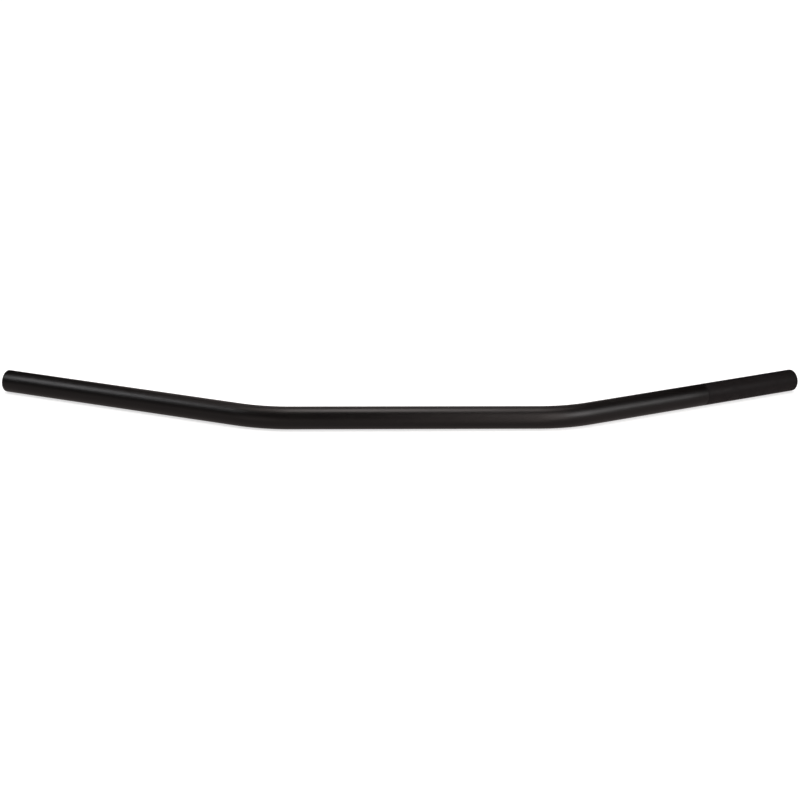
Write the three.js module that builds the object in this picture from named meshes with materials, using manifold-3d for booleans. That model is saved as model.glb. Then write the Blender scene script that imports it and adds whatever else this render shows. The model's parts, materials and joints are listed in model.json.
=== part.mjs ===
// A motorcycle drag handlebar: one round steel tube, bent once on each side, with a
// knurl rolled into the grip length on the rider's left.
// Millimetres. The origin is on the tube's axis, in the middle of the length that the
// risers clamp. +X runs along the bar to the rider's left hand, +Y runs back towards
// the rider and +Z is up. The bar has no rise, so its axis stays in the plane Z = 0.
import * as THREE from 'three';
import { mergeVertices } from 'three/addons/utils/BufferGeometryUtils.js';
import Module from 'manifold-3d';

const wasm = await Module();
wasm.setup();

// Driving dimensions
const TUBE_OD = 25.4; // a one-inch bar
const WALL = 3.0;
const WIDTH = 928; // along X, from the middle of one end face to the other
const PULLBACK = 165; // along Y, from the clamped length to the end faces
const SWEEP = THREE.MathUtils.degToRad(29.2); // how far each arm turns back
const BEND_RADIUS = 120; // of the tube's axis
const KNURL_LENGTH = 139.7; // from the end face inwards
const KNURL_RISE = 0.1; // how far the rolled ridges stand above the tube
const KNURL_RAMP = 0.5; // the run of the slope up to the ridges
const OUTER_CHAMFER = 1.0;
const INNER_CHAMFER = 0.5;

// How finely the round shapes are divided
const SIDES = 36;
const BEND_STEPS = 8; // for each bend
const STRAIGHT_STEPS = 1; // for each arm and for the middle

// Worked out from them
const RADIUS = TUBE_OD / 2;
const BORE_RADIUS = RADIUS - WALL;
const ARM = PULLBACK / Math.sin(SWEEP); // from the corner of the axis lines to the end
const CORNER_X = WIDTH / 2 - ARM * Math.cos(SWEEP);
const TANGENT = BEND_RADIUS * Math.tan(SWEEP / 2); // from that corner to the bend's start
const STRAIGHT_HALF = CORNER_X - TANGENT;

// A point of the tube's axis and the way the axis runs there, for the half on +X.
// The leg is 0 in the middle, 1 where the bend starts, 2 where it ends, 3 at the end.
function halfAxis(leg) {
  if (leg <= 1) {
    const point = new THREE.Vector3(STRAIGHT_HALF * leg, 0, 0);
    return { point, angle: 0 };
  }
  const turned = SWEEP * Math.min(leg - 1, 1);
  const point = new THREE.Vector3(
    STRAIGHT_HALF + BEND_RADIUS * Math.sin(turned),
    BEND_RADIUS * (1 - Math.cos(turned)),
    0,
  );
  const along = (ARM - TANGENT) * Math.max(leg - 2, 0);
  point.x += along * Math.cos(turned);
  point.y += along * Math.sin(turned);
  return { point, angle: turned };
}

// The whole axis, from the end on -X to the end on +X. Its parameter runs in equal
// steps over the stations, so the straight lengths take few and the bends take more.
class BarAxis extends THREE.Curve {
  constructor() {
    super();
    const bend = Array.from({ length: BEND_STEPS - 1 }, (_, i) => 1 + (i + 1) / BEND_STEPS);
    const middle = Array.from({ length: STRAIGHT_STEPS }, (_, i) => i / STRAIGHT_STEPS);
    const arm = middle.map((step) => 2 + step);
    const half = [...middle, 1, ...bend, ...arm, 3];
    const mirrored = half.slice(1).reverse().map((leg) => -leg);
    this.legs = [...mirrored, ...half];
    this.steps = this.legs.length - 1;
  }

  station(t) {
    const leg = this.legs[Math.round(t * this.steps)];
    const side = leg < 0 ? -1 : 1;
    const { point, angle } = halfAxis(Math.abs(leg));
    point.x *= side;
    return { point, tangent: new THREE.Vector3(Math.cos(angle), side * Math.sin(angle), 0) };
  }

  getPointAt(t) {
    return this.station(t).point;
  }

  getTangentAt(t) {
    return this.station(t).tangent;
  }
}

// manifold-3d's solid of a closed geometry
function solidOf(geometry) {
  geometry.deleteAttribute('normal');
  geometry.deleteAttribute('uv');
  const merged = mergeVertices(geometry, 1e-4);
  return new wasm.Manifold(new wasm.Mesh({
    numProp: 3,
    vertProperties: merged.attributes.position.array,
    triVerts: new Uint32Array(merged.index.array),
  }));
}

function geometryOf(solid) {
  const mesh = solid.getMesh();
  const geometry = new THREE.BufferGeometry();
  geometry.setAttribute('position', new THREE.BufferAttribute(mesh.vertProperties, 3));
  geometry.setIndex(new THREE.BufferAttribute(mesh.triVerts, 1));
  geometry.computeVertexNormals();
  return geometry;
}

// The bent tube with its bore, cut square at both ends
function bentTube() {
  const section = new THREE.Shape();
  section.absarc(0, 0, RADIUS, 0, 2 * Math.PI);
  const bore = new THREE.Path();
  bore.absarc(0, 0, BORE_RADIUS, 0, 2 * Math.PI);
  section.holes.push(bore);
  const axis = new BarAxis();
  return solidOf(new THREE.ExtrudeGeometry(section, {
    curveSegments: SIDES / 2,
    steps: axis.steps,
    extrudePath: axis,
  }));
}

// A ring around one arm's axis. Each point of its outline is a radius and a distance
// in from the end face; side is +1 for the arm on +X and -1 for the other.
function ringOnArm(outline, side) {
  const points = outline.map(([radius, inwards]) => new THREE.Vector2(radius, -inwards));
  points.push(points[0].clone());
  const ring = new THREE.LatheGeometry(points, SIDES);
  const outwards = new THREE.Vector3(side * Math.cos(SWEEP), Math.sin(SWEEP), 0);
  const up = new THREE.Vector3(0, 1, 0);
  ring.applyQuaternion(new THREE.Quaternion().setFromUnitVectors(up, outwards));
  ring.translate(side * WIDTH / 2, PULLBACK, 0);
  return solidOf(ring);
}

// The raised band of the knurl. Its inner face lies inside the tube's wall.
function knurlBand() {
  const root = RADIUS - WALL / 2;
  const crest = RADIUS + KNURL_RISE;
  return ringOnArm([
    [root, KNURL_LENGTH],
    [RADIUS, KNURL_LENGTH],
    [crest, KNURL_LENGTH - KNURL_RAMP],
    [crest, OUTER_CHAMFER + KNURL_RAMP],
    [RADIUS, OUTER_CHAMFER],
    [root, OUTER_CHAMFER],
  ], 1);
}

// What the chamfers on one end face take off, outside and in the bore's mouth
function chamferCuts(side) {
  const past = 1; // how far the cut starts beyond the face
  const outer = ringOnArm([
    [RADIUS - OUTER_CHAMFER - past, -past],
    [RADIUS + past, OUTER_CHAMFER + past],
    [RADIUS + past, -past],
  ], side);
  const inner = ringOnArm([
    [BORE_RADIUS - past, -past],
    [BORE_RADIUS - past, INNER_CHAMFER + past],
    [BORE_RADIUS + INNER_CHAMFER + past, -past],
  ], side);
  return outer.add(inner);
}

function handlebarTube() {
  let tube = bentTube().add(knurlBand());
  for (const side of [-1, 1]) {
    tube = tube.subtract(chamferCuts(side));
  }
  return geometryOf(tube);
}

const satinBlack = new THREE.MeshStandardMaterial({
  color: 0x1b1918,
  roughness: 0.35,
  metalness: 0,
});

const handlebar = new THREE.Group();
const tube = new THREE.Mesh(handlebarTube(), satinBlack);
tube.name = 'handlebar_tube';
handlebar.add(tube);

export default handlebar;
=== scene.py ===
"""A bare motorcycle handlebar, bent from a single steel tube and coated satin black.

Everything is in metres in the part's own frame: the origin is on the tube's axis in the
middle, +X runs to the rider's left hand, +Y back to the rider and +Z up. Lengths along
the bar are measured on the tube's axis from the middle, positive towards +X.
"""
import json
import math

import bpy
import numpy as np
from mathutils import Matrix, Vector


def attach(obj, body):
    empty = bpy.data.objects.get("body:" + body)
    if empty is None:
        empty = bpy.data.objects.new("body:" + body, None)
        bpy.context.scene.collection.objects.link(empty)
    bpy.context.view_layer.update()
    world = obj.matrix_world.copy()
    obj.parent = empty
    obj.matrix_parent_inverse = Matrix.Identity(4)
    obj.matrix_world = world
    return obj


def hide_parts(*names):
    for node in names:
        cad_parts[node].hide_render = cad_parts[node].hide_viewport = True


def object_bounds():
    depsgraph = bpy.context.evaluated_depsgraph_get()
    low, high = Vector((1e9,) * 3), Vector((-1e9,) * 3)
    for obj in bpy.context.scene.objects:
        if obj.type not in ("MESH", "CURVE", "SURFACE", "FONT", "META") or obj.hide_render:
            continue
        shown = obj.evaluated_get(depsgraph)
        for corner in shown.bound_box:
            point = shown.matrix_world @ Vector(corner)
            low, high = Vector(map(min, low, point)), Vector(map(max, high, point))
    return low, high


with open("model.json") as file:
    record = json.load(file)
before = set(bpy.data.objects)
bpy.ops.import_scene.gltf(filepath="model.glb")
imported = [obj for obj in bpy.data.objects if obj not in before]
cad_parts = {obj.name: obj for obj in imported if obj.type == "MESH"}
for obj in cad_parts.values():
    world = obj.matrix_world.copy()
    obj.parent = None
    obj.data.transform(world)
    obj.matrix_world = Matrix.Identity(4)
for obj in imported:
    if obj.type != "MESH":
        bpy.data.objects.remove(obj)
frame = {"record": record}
cad_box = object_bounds()

# The tube
RADIUS = 0.0127
WALL = 0.003
BEND_RADIUS = 0.120
OUTER_ROUND = 0.0010
INNER_ROUND = 0.0005

# The knurl: two crossing helical grooves leave rows of flat-topped diamonds
KNURL_LENGTH = 0.1397
DIAMONDS_ROUND = 72
DIAMOND_SLENDERNESS = 1.7
GROOVE_DEPTH = 0.00004
CREST_RISE = 0.00004
CREST_SHARE = 0.76
KNURL_RAMP = 0.0004

# The tube's three finishes, in the order of its material slots
COAT, KNURL, BORE = range(3)

# How finely the mesh is divided
SIDES = 2 * DIAMONDS_ROUND
BEND_STEP = math.radians(1.5)
ROUND_STEPS = 4
STRAIGHT_STEP = 0.03
CLOSEST_RINGS = 0.002

# Noise stays mostly between these values, which are spread over the range that is wanted
NOISE_LOW = 0.3
NOISE_HIGH = 0.7

# A Mix node has a socket of the same name for every type of data, so colours go by number
MIX_SHARE = 0
MIX_LOW = 6
MIX_HIGH = 7
MIX_RESULT = 2

# The coat: colours are linear, lengths in metres
COAT_DEEP = (0.0032, 0.0024, 0.0022, 1.0)
COAT_PALE = (0.0044, 0.0034, 0.0031, 1.0)
COAT_CLOUD = 0.025
COAT_CLOUD_DETAIL = 4.0
COAT_CLOUD_STRETCH = 3.0
COAT_GRAIN = 0.0006
COAT_ROUGHNESS = (0.345, 0.405)
COAT_GRAIN_ROUGHNESS = 0.04
ORANGE_PEEL = 0.0022
ORANGE_PEEL_DEPTH = 0.00008
RIM_THIN = (0.015, 0.013, 0.012, 1.0)
RIM_CHIP = 0.0012
RIM_CHIP_SHOWS = (0.45, 0.6)

# The coat over the knurl, from its grooves, darkened with painted shade, to its crests, lighter where
# rubbed
KNURL_GROOVE_SHADE = (0.0026, 0.0015, 0.0016, 1.0)
KNURL_CREST = (0.0060, 0.0036, 0.0038, 1.0)
KNURL_ROUGHNESS = (0.75, 0.38)
KNURL_SPECULAR = 0.34
KNURL_GRAIN = 0.0003
KNURL_GRAIN_DEPTH = 0.000006
RUBBED_PATCH = 0.012
RUBBED_PATCH_DETAIL = 3.0
RUBBED_SHARE = (0.4, 1.0)

# The bore
STEEL_DARK = (0.16, 0.15, 0.14, 1.0)
STEEL_PALE = (0.34, 0.33, 0.31, 1.0)
STEEL_ROUGHNESS = (0.30, 0.48)
BORE_STREAK = 0.0011
BORE_STREAK_DETAIL = 3.0
BORE_STREAK_STRETCH = 40.0
BORE_STREAK_DEPTH = 0.00001
OVERSPRAY_SPECK = 0.0015
OVERSPRAY_DETAIL = 4.0
OVERSPRAY_RAGGED = (0.4, 1.6)
OVERSPRAY_REACH = (0.010, 0.030)
OVERSPRAY_ROUGHNESS = 0.5

# The floor and what is around it
FLOOR_HALF = 15.0
FLOOR_COLOUR = (0.50, 0.50, 0.50)
FLOOR_ROUGHNESS = 0.9
FLOOR_GLOW = 0.62
SKY_STRENGTH = 2.8
SKY_WIDTH = math.radians(120)
BACKDROP = (1.0, 1.0, 1.0)
BOUNCE = (0.305, 0.268, 0.262)

# The softboxes: name, place, width, height, radiance and colour. The places overhead are
# in metres. Those around the bar are an azimuth and an elevation in degrees and a distance.
FAR = 1.5
NEAR = 0.65
WARM = (1.0, 0.95, 0.94)
AMBER = (1.0, 0.87, 0.84)
NEUTRAL = (1.0, 0.975, 0.98)
COOL = (0.985, 0.97, 1.0)
OVERHEAD = (
    ("overhead broad", -0.1, 0.2, 1.50, 1.6, 0.85, 1.25, AMBER),
    ("overhead core", 0.05, 0.12, 1.45, 0.3, 0.9, 3.8, WARM),
)
AROUND = (
    ("left", -90, 35, FAR, 0.45, 0.6, 3.9, COOL),
    ("right", 60, 20, FAR, 0.8, 0.7, 4.0, NEUTRAL),
    ("right front strip", 25, 35, FAR, 0.08, 0.7, 1.0, AMBER),
    ("back", 180, 30, FAR, 1.0, 1.0, 0.4, AMBER),
    ("left front", -35, 0, FAR, 1.2, 1.0, 0.3, AMBER),
    ("right near", 35, 20, NEAR, 0.3, 0.7, 1.5, AMBER),
    ("low strip near", 20, 0, NEAR, 0.1, 0.9, 1.1, AMBER),
)

# The camera: angles in degrees, and how far it is shifted aside and up, in metres.
# These and the softboxes were matched to the photograph, then rounded.
CAMERA_AZIMUTH = 4.31
CAMERA_ELEVATION = 15.04
CAMERA_ROLL = 1.03
CAMERA_DISTANCE = 2.484
CAMERA_RIGHT = -0.0167
CAMERA_UP = 0.0196
CAMERA_LENS = 100.6
CAMERA_SENSOR = 36.0

# Where the frame says that the bar ends
mounts = {mount["name"]: mount for mount in frame["record"]["mounts"]}
END_X, END_Y = mounts["left_end_face"]["pos_m"][:2]
END_AXIS = mounts["left_end_face"]["axis"]
SWEEP = math.atan2(END_AXIS[1], END_AXIS[0])

ARM = END_Y / math.sin(SWEEP)
TANGENT = BEND_RADIUS * math.tan(SWEEP / 2)
STRAIGHT_HALF = END_X - ARM * math.cos(SWEEP) - TANGENT
BEND_END = STRAIGHT_HALF + BEND_RADIUS * SWEEP
BAR_END = BEND_END + ARM - TANGENT


def axis_at(along):
    """The point of the tube's axis at a length along it, and the angle turned there."""
    side = math.copysign(1.0, along)
    length = abs(along)
    turned = min(max((length - STRAIGHT_HALF) / BEND_RADIUS, 0.0), SWEEP)
    arm = max(length - BEND_END, 0.0)
    x = min(length, STRAIGHT_HALF) + BEND_RADIUS * math.sin(turned) + arm * math.cos(turned)
    y = BEND_RADIUS * (1 - math.cos(turned)) + arm * math.sin(turned)
    return np.array((side * x, y, 0.0)), side * turned


def on_tube(along, radius, angle):
    """A point at a radius from the tube's axis; the angle runs from the top round the back."""
    centre, turned = axis_at(along)
    back = np.array((-math.sin(turned), math.cos(turned), 0.0))
    up = np.array((0.0, 0.0, 1.0))
    return centre + radius * (math.cos(angle) * up + math.sin(angle) * back)


class Skin:
    """Collects the vertices and faces of the tube's one closed surface."""

    def __init__(self):
        self.points = []
        self.straightened = []
        self.crests = []
        self.faces = []
        self.flat = []
        self.finishes = []
        self.finish = COAT

    def point(self, along, radius, angle, crest=0.0):
        """A vertex, with the place that it would have on the same tube laid out straight."""
        self.points.append(on_tube(along, radius, angle))
        self.straightened.append((along, radius * math.sin(angle), radius * math.cos(angle)))
        self.crests.append(crest)
        return len(self.points) - 1

    def face(self, corners, flat=False):
        self.faces.append(corners)
        self.flat.append(flat)
        self.finishes.append(self.finish)

    def ring(self, along, radius):
        return [self.point(along, radius, 2 * math.pi * i / SIDES) for i in range(SIDES)]

    def join(self, first, second, flat=False):
        """Faces from one ring to the next one, which lies further on in the skin's order."""
        for i in range(SIDES):
            j = (i + 1) % SIDES
            self.face((first[i], second[i], second[j], first[j]), flat)


def stations(start, end):
    """Lengths along the axis from start to end, close together in the bends."""
    found = {start, end}
    bend_count = math.ceil(SWEEP / BEND_STEP)
    for side in (-1, 1):
        for i in range(bend_count + 1):
            found.add(side * (STRAIGHT_HALF + BEND_RADIUS * SWEEP * i / bend_count))
    for a, b in ((BEND_END, BAR_END), (-STRAIGHT_HALF, STRAIGHT_HALF), (-BAR_END, -BEND_END)):
        count = math.ceil((b - a) / STRAIGHT_STEP)
        found.update(a + (b - a) * i / count for i in range(1, count))
    low, high = min(start, end), max(start, end)
    inside = sorted(s for s in found if low + CLOSEST_RINGS < s < high - CLOSEST_RINGS)
    ordered = [low, *inside, high]
    return ordered if start < end else ordered[::-1]


def end_profile(side):
    """(along, radius) from the outer wall over the rounded rim and the end face into the bore."""
    bore = RADIUS - WALL
    profile = []
    for i in range(ROUND_STEPS + 1):
        angle = math.pi / 2 * i / ROUND_STEPS
        profile.append((BAR_END - OUTER_ROUND * (1 - math.sin(angle)),
                        RADIUS - OUTER_ROUND * (1 - math.cos(angle))))
    for i in range(ROUND_STEPS + 1):
        angle = math.pi / 2 * i / ROUND_STEPS
        profile.append((BAR_END - INNER_ROUND * (1 - math.cos(angle)),
                        bore + INNER_ROUND * (1 - math.sin(angle))))
    return [(side * along, radius) for along, radius in profile]


def add_knurl(skin, before, start, end):
    """The field of diamonds from start to end, joined to the ring before it. Returns its last ring."""
    valley = RADIUS - GROOVE_DEPTH
    crest = RADIUS + CREST_RISE
    turn = 2 * math.pi / SIDES
    rows = 2 * round((end - start) / (RADIUS * turn * DIAMOND_SLENDERNESS) / 2)
    pitch = (end - start) / rows
    first = skin.ring(start, valley)
    last = skin.ring(end, valley)
    skin.join(before, first)
    skin.finish = KNURL
    corner = {(i, 0): first[i] for i in range(SIDES)}
    corner.update({(i, rows): last[i] for i in range(SIDES)})
    for row in range(1, rows):
        for i in range(row % 2, SIDES, 2):
            corner[i, row] = skin.point(start + row * pitch, valley, i * turn)
    steps = [(-1, 0), (0, -1), (1, 0), (0, 1)]
    for row in range(1, rows):
        for i in range((row + 1) % 2, SIDES, 2):
            outer = [corner[(i + across) % SIDES, row + on] for across, on in steps]
            top = [skin.point(start + (row + CREST_SHARE * on) * pitch, crest,
                              (i + CREST_SHARE * across) * turn, 1.0) for across, on in steps]
            skin.face(tuple(top[::-1]), True)
            for k in range(4):
                n = (k + 1) % 4
                skin.face((outer[k], top[k], top[n], outer[n]), True)
    for i in range(1, SIDES, 2):
        skin.face((first[i - 1], corner[i, 1], first[(i + 1) % SIDES], first[i]), True)
        skin.face((last[i - 1], last[i], last[(i + 1) % SIDES], corner[i, rows - 1]), True)
    skin.finish = COAT
    return last


def join_all(skin, rings, flat_step):
    """Joins rings in turn. The step with the given number is the flat end face."""
    for k in range(len(rings) - 1):
        skin.join(rings[k], rings[k + 1], flat=k == flat_step)


def tube_skin():
    """Out along the outer wall from -X to +X, over the knurled end's rim and back up the bore."""
    skin = Skin()
    knurl_start = BAR_END - KNURL_LENGTH
    plain_rim = [skin.ring(*station) for station in reversed(end_profile(-1))]
    plain_wall = [skin.ring(along, RADIUS)
                  for along in stations(-BAR_END + OUTER_ROUND, knurl_start)[1:]]
    outside = plain_rim + plain_wall
    join_all(skin, outside, ROUND_STEPS)
    knurl_last = add_knurl(skin, outside[-1], knurl_start + KNURL_RAMP,
                           BAR_END - OUTER_ROUND - KNURL_RAMP)
    knurled_rim = [knurl_last] + [skin.ring(*station) for station in end_profile(1)]
    join_all(skin, knurled_rim, ROUND_STEPS + 1)
    skin.finish = BORE
    bore_wall = [skin.ring(along, RADIUS - WALL)
                 for along in stations(BAR_END - INNER_ROUND, -BAR_END + INNER_ROUND)[1:-1]]
    join_all(skin, [knurled_rim[-1]] + bore_wall + [plain_rim[0]], None)
    return skin


def build_tube():
    skin = tube_skin()
    mesh = bpy.data.meshes.new("handlebar")
    mesh.from_pydata([tuple(point) for point in skin.points], [], skin.faces)
    mesh.polygons.foreach_set("use_smooth", [not flat for flat in skin.flat])
    for finish in (satin_coat(), knurl_coat(), bare_bore()):
        mesh.materials.append(finish)
    mesh.polygons.foreach_set("material_index", skin.finishes)
    straightened = mesh.attributes.new("straightened", "FLOAT_VECTOR", "POINT")
    straightened.data.foreach_set("vector", np.array(skin.straightened).ravel())
    crest = mesh.attributes.new("crest", "FLOAT", "POINT")
    crest.data.foreach_set("value", skin.crests)
    mesh.update()
    piece = bpy.data.objects.new("handlebar", mesh)
    bpy.context.scene.collection.objects.link(piece)
    return piece


class Finish:
    """A material under construction, with short ways to add its nodes."""

    def __init__(self, name):
        self.material = bpy.data.materials.new(name)
        self.material.use_nodes = True
        self.tree = self.material.node_tree
        self.shader = self.tree.nodes["Principled BSDF"]
        self.straightened = self.attribute("straightened", "Vector")

    def add(self, kind, inputs, **settings):
        """A new node. Each of its inputs is a plain value or the output that feeds it."""
        made = self.tree.nodes.new(kind)
        for name, value in settings.items():
            setattr(made, name, value)
        for name, value in inputs.items():
            self.feed(made.inputs[name], value)
        return made

    def feed(self, socket, value):
        if isinstance(value, bpy.types.NodeSocket):
            self.tree.links.new(value, socket)
        else:
            socket.default_value = value

    def attribute(self, name, output):
        return self.add("ShaderNodeAttribute", {}, attribute_name=name).outputs[output]

    def noise(self, size, detail=2.0, stretch=1.0):
        """Noise with features of a size in metres, drawn out along the bar by stretch."""
        placed = self.add("ShaderNodeMapping",
                          {"Vector": self.straightened, "Scale": (1 / stretch, 1.0, 1.0)})
        made = self.add("ShaderNodeTexNoise", {"Vector": placed.outputs["Vector"],
                                               "Scale": 1 / size, "Detail": detail})
        return made.outputs["Fac"]

    def spread(self, value, low, high, start=NOISE_LOW, end=NOISE_HIGH):
        """Maps start..end onto low..high, and holds it there beyond them."""
        made = self.add("ShaderNodeMapRange", {"Value": value, "From Min": start,
                                               "From Max": end, "To Min": low, "To Max": high})
        return made.outputs["Result"]

    def blend(self, share, low, high):
        """A colour between low and high."""
        made = self.add("ShaderNodeMix", {}, data_type="RGBA")
        for socket, value in ((MIX_SHARE, share), (MIX_LOW, low), (MIX_HIGH, high)):
            self.feed(made.inputs[socket], value)
        return made.outputs[MIX_RESULT]

    def math(self, operation, first, second=0.0):
        made = self.add("ShaderNodeMath", {}, operation=operation)
        self.feed(made.inputs[0], first)
        self.feed(made.inputs[1], second)
        return made.outputs[0]

    def from_end(self):
        """How far a point is from the nearer end of the bar, in metres."""
        split = self.add("ShaderNodeSeparateXYZ", {"Vector": self.straightened})
        return self.math("SUBTRACT", BAR_END, self.math("ABSOLUTE", split.outputs["X"]))

    def relief(self, height, metres):
        """A bump whose full height is a length in metres."""
        made = self.add("ShaderNodeBump", {"Height": height, "Distance": metres})
        self.feed(self.shader.inputs["Normal"], made.outputs["Normal"])

    def look(self, colour, roughness, metallic=0.0):
        for name, value in (("Base Color", colour), ("Roughness", roughness),
                            ("Metallic", metallic)):
            self.feed(self.shader.inputs[name], value)
        return self.material


def satin_coat():
    """Satin black powder coat: orange peel, soft cloudiness, thinner on the tube's rims."""
    coat = Finish("satin black coat")
    clouds = coat.noise(COAT_CLOUD, COAT_CLOUD_DETAIL, COAT_CLOUD_STRETCH)
    grain = coat.noise(COAT_GRAIN)
    colour = coat.blend(clouds, COAT_DEEP, COAT_PALE)
    chips = coat.math("MULTIPLY", coat.spread(coat.from_end(), 1.0, 0.0, 0.0, OUTER_ROUND),
                      coat.spread(coat.noise(RIM_CHIP), 0.0, 1.0, *RIM_CHIP_SHOWS))
    roughness = coat.math("ADD", coat.spread(clouds, *COAT_ROUGHNESS),
                          coat.spread(grain, -COAT_GRAIN_ROUGHNESS, COAT_GRAIN_ROUGHNESS))
    coat.relief(coat.noise(ORANGE_PEEL), ORANGE_PEEL_DEPTH)
    return coat.look(coat.blend(chips, colour, RIM_THIN), roughness)


def knurl_coat():
    """The same coat over the knurl: matt in the grooves and darkened there with painted shade, lighter
    in rubbed patches on the crests.
    """
    coat = Finish("knurl coat")
    crest = coat.attribute("crest", "Fac")
    patches = coat.noise(RUBBED_PATCH, RUBBED_PATCH_DETAIL)
    # Share of the crest colour: 0 in the grooves paints shade there, and rubbed patches on the crests
    # show lighter wear
    wear_and_groove_shade = coat.math("MULTIPLY", crest, coat.spread(patches, *RUBBED_SHARE))
    coat.relief(coat.noise(KNURL_GRAIN), KNURL_GRAIN_DEPTH)
    coat.shader.inputs["Specular IOR Level"].default_value = KNURL_SPECULAR
    return coat.look(coat.blend(wear_and_groove_shade, KNURL_GROOVE_SHADE, KNURL_CREST),
                     coat.spread(wear_and_groove_shade, *KNURL_ROUGHNESS, 0.0, 1.0))


def bare_bore():
    """Bare drawn steel inside, with the coat's overspray fading out behind the mouths."""
    bore = Finish("bare steel bore")
    streaks = bore.noise(BORE_STREAK, BORE_STREAK_DETAIL, BORE_STREAK_STRETCH)
    specks = bore.noise(OVERSPRAY_SPECK, OVERSPRAY_DETAIL)
    ragged = bore.math("MULTIPLY", bore.spread(specks, *OVERSPRAY_RAGGED), bore.from_end())
    bare = bore.spread(ragged, 0.0, 1.0, *OVERSPRAY_REACH)
    steel = bore.blend(streaks, STEEL_DARK, STEEL_PALE)
    steel_roughness = bore.spread(streaks, *STEEL_ROUGHNESS)
    roughness = bore.math("ADD", bore.math("MULTIPLY", bare, steel_roughness),
                          bore.math("MULTIPLY", bore.math("SUBTRACT", 1.0, bare),
                                    OVERSPRAY_ROUGHNESS))
    bore.relief(streaks, BORE_STREAK_DEPTH)
    return bore.look(bore.blend(bare, COAT_PALE, steel), roughness, bare)


def add_floor():
    """A pale floor that glows a little, and that the bar neither mirrors nor is lit by."""
    mesh = bpy.data.meshes.new("floor")
    level = cad_box[0].z
    corners = [(x * FLOOR_HALF, y * FLOOR_HALF, level)
               for x, y in ((-1, -1), (1, -1), (1, 1), (-1, 1))]
    mesh.from_pydata(corners, [], [(0, 1, 2, 3)])
    floor = bpy.data.objects.new("floor", mesh)
    bpy.context.scene.collection.objects.link(floor)
    pale = bpy.data.materials.new("pale floor")
    pale.use_nodes = True
    shader = pale.node_tree.nodes["Principled BSDF"]
    shader.inputs["Base Color"].default_value = (*FLOOR_COLOUR, 1.0)
    shader.inputs["Roughness"].default_value = FLOOR_ROUGHNESS
    shader.inputs["Emission Color"].default_value = (1.0, 1.0, 1.0, 1.0)
    shader.inputs["Emission Strength"].default_value = FLOOR_GLOW
    mesh.materials.append(pale)
    floor.visible_glossy = False
    floor.visible_diffuse = False
    floor.visible_shadow = False
    return floor


def add_floor_sky(floor):
    """An even, very soft light from straight above that falls on the floor alone."""
    light = bpy.data.lights.new("floor sky", "SUN")
    light.energy = SKY_STRENGTH
    light.angle = SKY_WIDTH
    sky = bpy.data.objects.new("floor sky", light)
    bpy.context.scene.collection.objects.link(sky)
    lit = bpy.data.collections.new("lit by the floor sky")
    lit.objects.link(floor)
    sky.light_linking.receiver_collection = lit


def add_world():
    """White for the camera, and for the bar dim below and black above, by the softboxes."""
    world = bpy.data.worlds.new("studio")
    bpy.context.scene.world = world
    world.use_nodes = True
    tree = world.node_tree
    glow = tree.nodes["Background"]
    place = tree.nodes.new("ShaderNodeTexCoord")
    split = tree.nodes.new("ShaderNodeSeparateXYZ")
    below = tree.nodes.new("ShaderNodeMath")
    below.operation = "LESS_THAN"
    below.inputs[1].default_value = 0.0
    tree.links.new(place.outputs["Generated"], split.inputs[0])
    tree.links.new(split.outputs["Z"], below.inputs[0])
    seen = tree.nodes.new("ShaderNodeLightPath")
    pick = tree.nodes.new("ShaderNodeMix")
    pick.data_type = "RGBA"
    bounce = tree.nodes.new("ShaderNodeMix")
    bounce.data_type = "RGBA"
    bounce.inputs[MIX_LOW].default_value = (0.0, 0.0, 0.0, 1.0)
    bounce.inputs[MIX_HIGH].default_value = (*BOUNCE, 1.0)
    pick.inputs[MIX_HIGH].default_value = (*BACKDROP, 1.0)
    tree.links.new(below.outputs[0], bounce.inputs[MIX_SHARE])
    tree.links.new(seen.outputs["Is Camera Ray"], pick.inputs[MIX_SHARE])
    tree.links.new(bounce.outputs[MIX_RESULT], pick.inputs[MIX_LOW])
    tree.links.new(pick.outputs[MIX_RESULT], glow.inputs["Color"])


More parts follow.
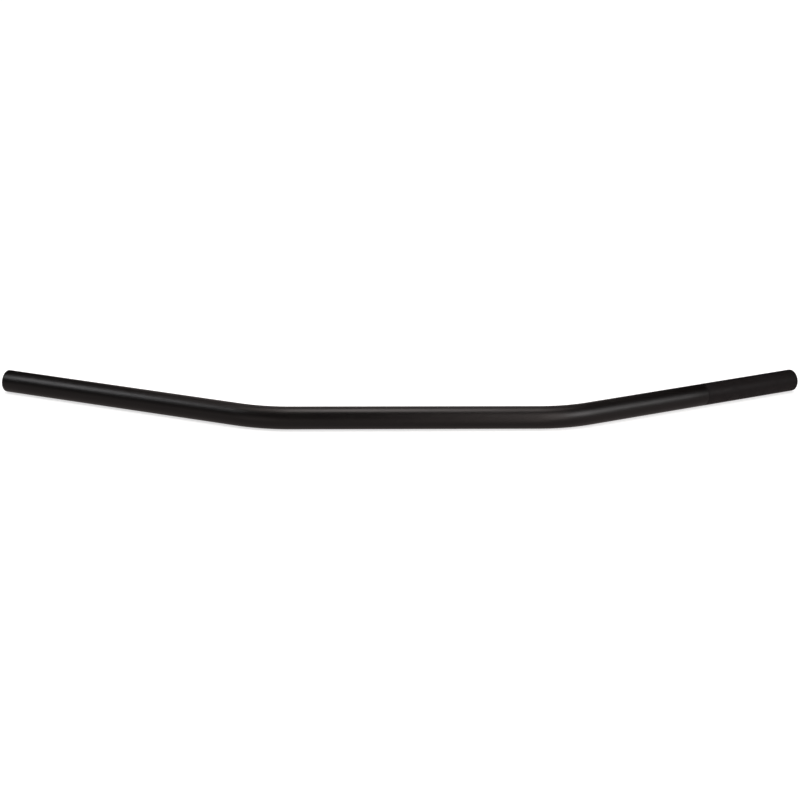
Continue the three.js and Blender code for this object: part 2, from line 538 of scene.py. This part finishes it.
def towards(azimuth, elevation):
    """Azimuth 0 is the side that the camera is on, and it grows towards +X."""
    a, e = math.radians(azimuth), math.radians(elevation)
    return Vector((math.sin(a) * math.cos(e), -math.cos(a) * math.cos(e), math.sin(e)))


def softbox(name, place, facing, width, height, radiance, colour):
    """A rectangular light that the camera can't see, as bright as its radiance at any size."""
    light = bpy.data.lights.new(name, "AREA")
    light.shape = "RECTANGLE"
    light.size = width
    light.size_y = height
    light.energy = math.pi * width * height * radiance
    light.color = colour
    lamp = bpy.data.objects.new(name, light)
    turn = facing.to_track_quat("-Z", "Y").to_matrix().to_4x4()
    lamp.matrix_world = Matrix.Translation(place) @ turn
    lamp.visible_camera = False
    bpy.context.scene.collection.objects.link(lamp)


def add_lights():
    down = Vector((0.0, 0.0, -1.0))
    for name, x, y, z, width, height, radiance, colour in OVERHEAD:
        softbox(name, Vector((x, y, z)), down, width, height, radiance, colour)
    for name, azimuth, elevation, distance, width, height, radiance, colour in AROUND:
        out = towards(azimuth, elevation)
        softbox(name, out * distance, -out, width, height, radiance, colour)


def add_camera():
    ahead = -towards(-CAMERA_AZIMUTH, CAMERA_ELEVATION)
    level = ahead.cross(Vector((0.0, 0.0, 1.0))).normalized()
    over = level.cross(ahead)
    roll = math.radians(CAMERA_ROLL)
    right = math.cos(roll) * level + math.sin(roll) * over
    up = math.cos(roll) * over - math.sin(roll) * level
    lens = bpy.data.cameras.new("camera")
    lens.lens = CAMERA_LENS
    lens.sensor_width = CAMERA_SENSOR
    camera = bpy.data.objects.new("camera", lens)
    place = right * CAMERA_RIGHT + up * CAMERA_UP - ahead * CAMERA_DISTANCE
    turn = Matrix((right, up, -ahead)).transposed().to_4x4()
    camera.matrix_world = Matrix.Translation(place) @ turn
    bpy.context.scene.collection.objects.link(camera)
    bpy.context.scene.camera = camera


add_camera()
tube = build_tube()
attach(tube, "root")
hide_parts("handlebar_tube")
add_floor_sky(add_floor())
add_lights()
add_world()
bpy.context.scene.view_settings.view_transform = "Standard"
